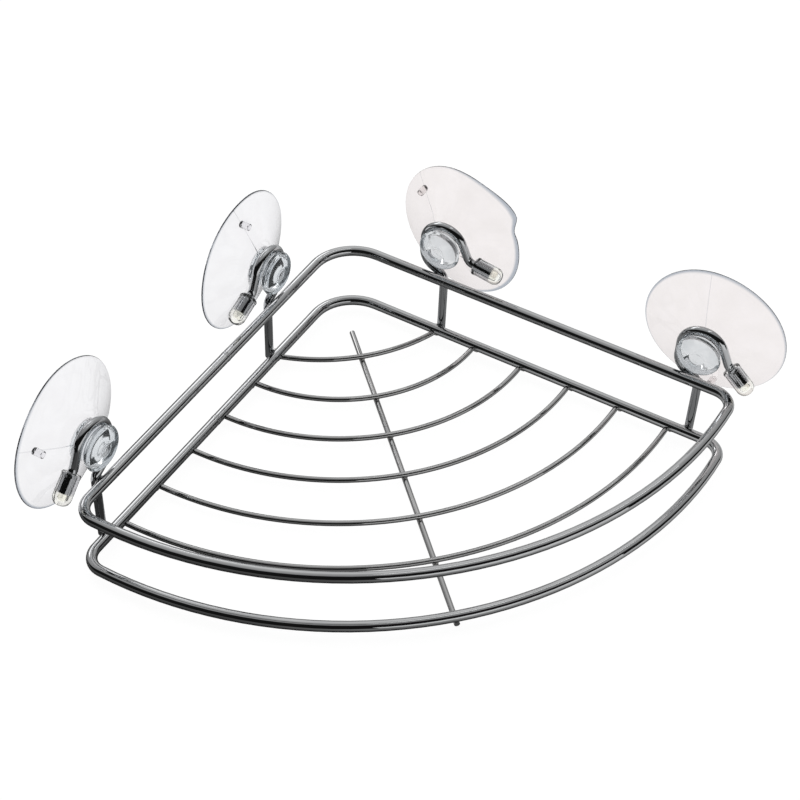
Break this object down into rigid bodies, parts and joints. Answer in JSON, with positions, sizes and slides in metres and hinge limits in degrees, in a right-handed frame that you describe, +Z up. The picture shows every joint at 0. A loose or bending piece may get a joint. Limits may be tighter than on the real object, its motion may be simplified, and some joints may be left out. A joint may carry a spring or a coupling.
{
  "type": "corner shower caddy",
  "caption": "Chromed wire corner shelf with a bowed front rail and curved floor wires, hung by wire hooks in clear suction cups.",
  "frame": {"origin": "on the surface the rib would stand on, under the middle of the whole part's box", "axes": "+Z up, +Y towards the corner of the room, -Y towards the bowed front, +X to the right as seen from the front"},
  "size_m": [0.3305, 0.207, 0.0887],
  "materials": {
    "chrome_wire": "polished",
    "clear_pvc": "clear, soft and glossy",
    "cap_plastic": "clear, slightly yellowed"
  },
  "bodies": {
    "frame": {"upper_ring": "chrome_wire", "lower_ring": "chrome_wire", "centre_rib": "chrome_wire", "floor_wire_1": "chrome_wire", "floor_wire_2": "chrome_wire", "floor_wire_3": "chrome_wire", "floor_wire_4": "chrome_wire", "floor_wire_5": "chrome_wire", "floor_wire_6": "chrome_wire", "hook_left_front": "chrome_wire", "hook_left_back": "chrome_wire", "hook_right_back": "chrome_wire", "hook_right_front": "chrome_wire", "tip_cap_left_front": "cap_plastic", "tip_cap_left_back": "cap_plastic", "tip_cap_right_back": "cap_plastic", "tip_cap_right_front": "cap_plastic"},
    "cup_left_front": {"suction_cup_left_front": "clear_pvc"},
    "cup_left_back": {"suction_cup_left_back": "clear_pvc"},
    "cup_right_back": {"suction_cup_right_back": "clear_pvc"},
    "cup_right_front": {"suction_cup_right_front": "clear_pvc"}
  },
  "joints": [
    {"name": "turn_left_front", "type": "hinge", "parent": "frame", "child": "cup_left_front", "pos_m": [-0.13202, -0.02062, 0.0557], "axis": [-0.7071, 0.7071, 0], "continuous": true},
    {"name": "turn_left_back", "type": "hinge", "parent": "frame", "child": "cup_left_back", "pos_m": [-0.04115, 0.07024, 0.0542], "axis": [-0.7071, 0.7071, 0], "continuous": true},
    {"name": "turn_right_back", "type": "hinge", "parent": "frame", "child": "cup_right_back", "pos_m": [0.04115, 0.07024, 0.0537], "axis": [0.7071, 0.7071, 0], "continuous": true},
    {"name": "turn_right_front", "type": "hinge", "parent": "frame", "child": "cup_right_front", "pos_m": [0.13202, -0.02062, 0.0517], "axis": [0.7071, 0.7071, 0], "continuous": true}
  ]
}
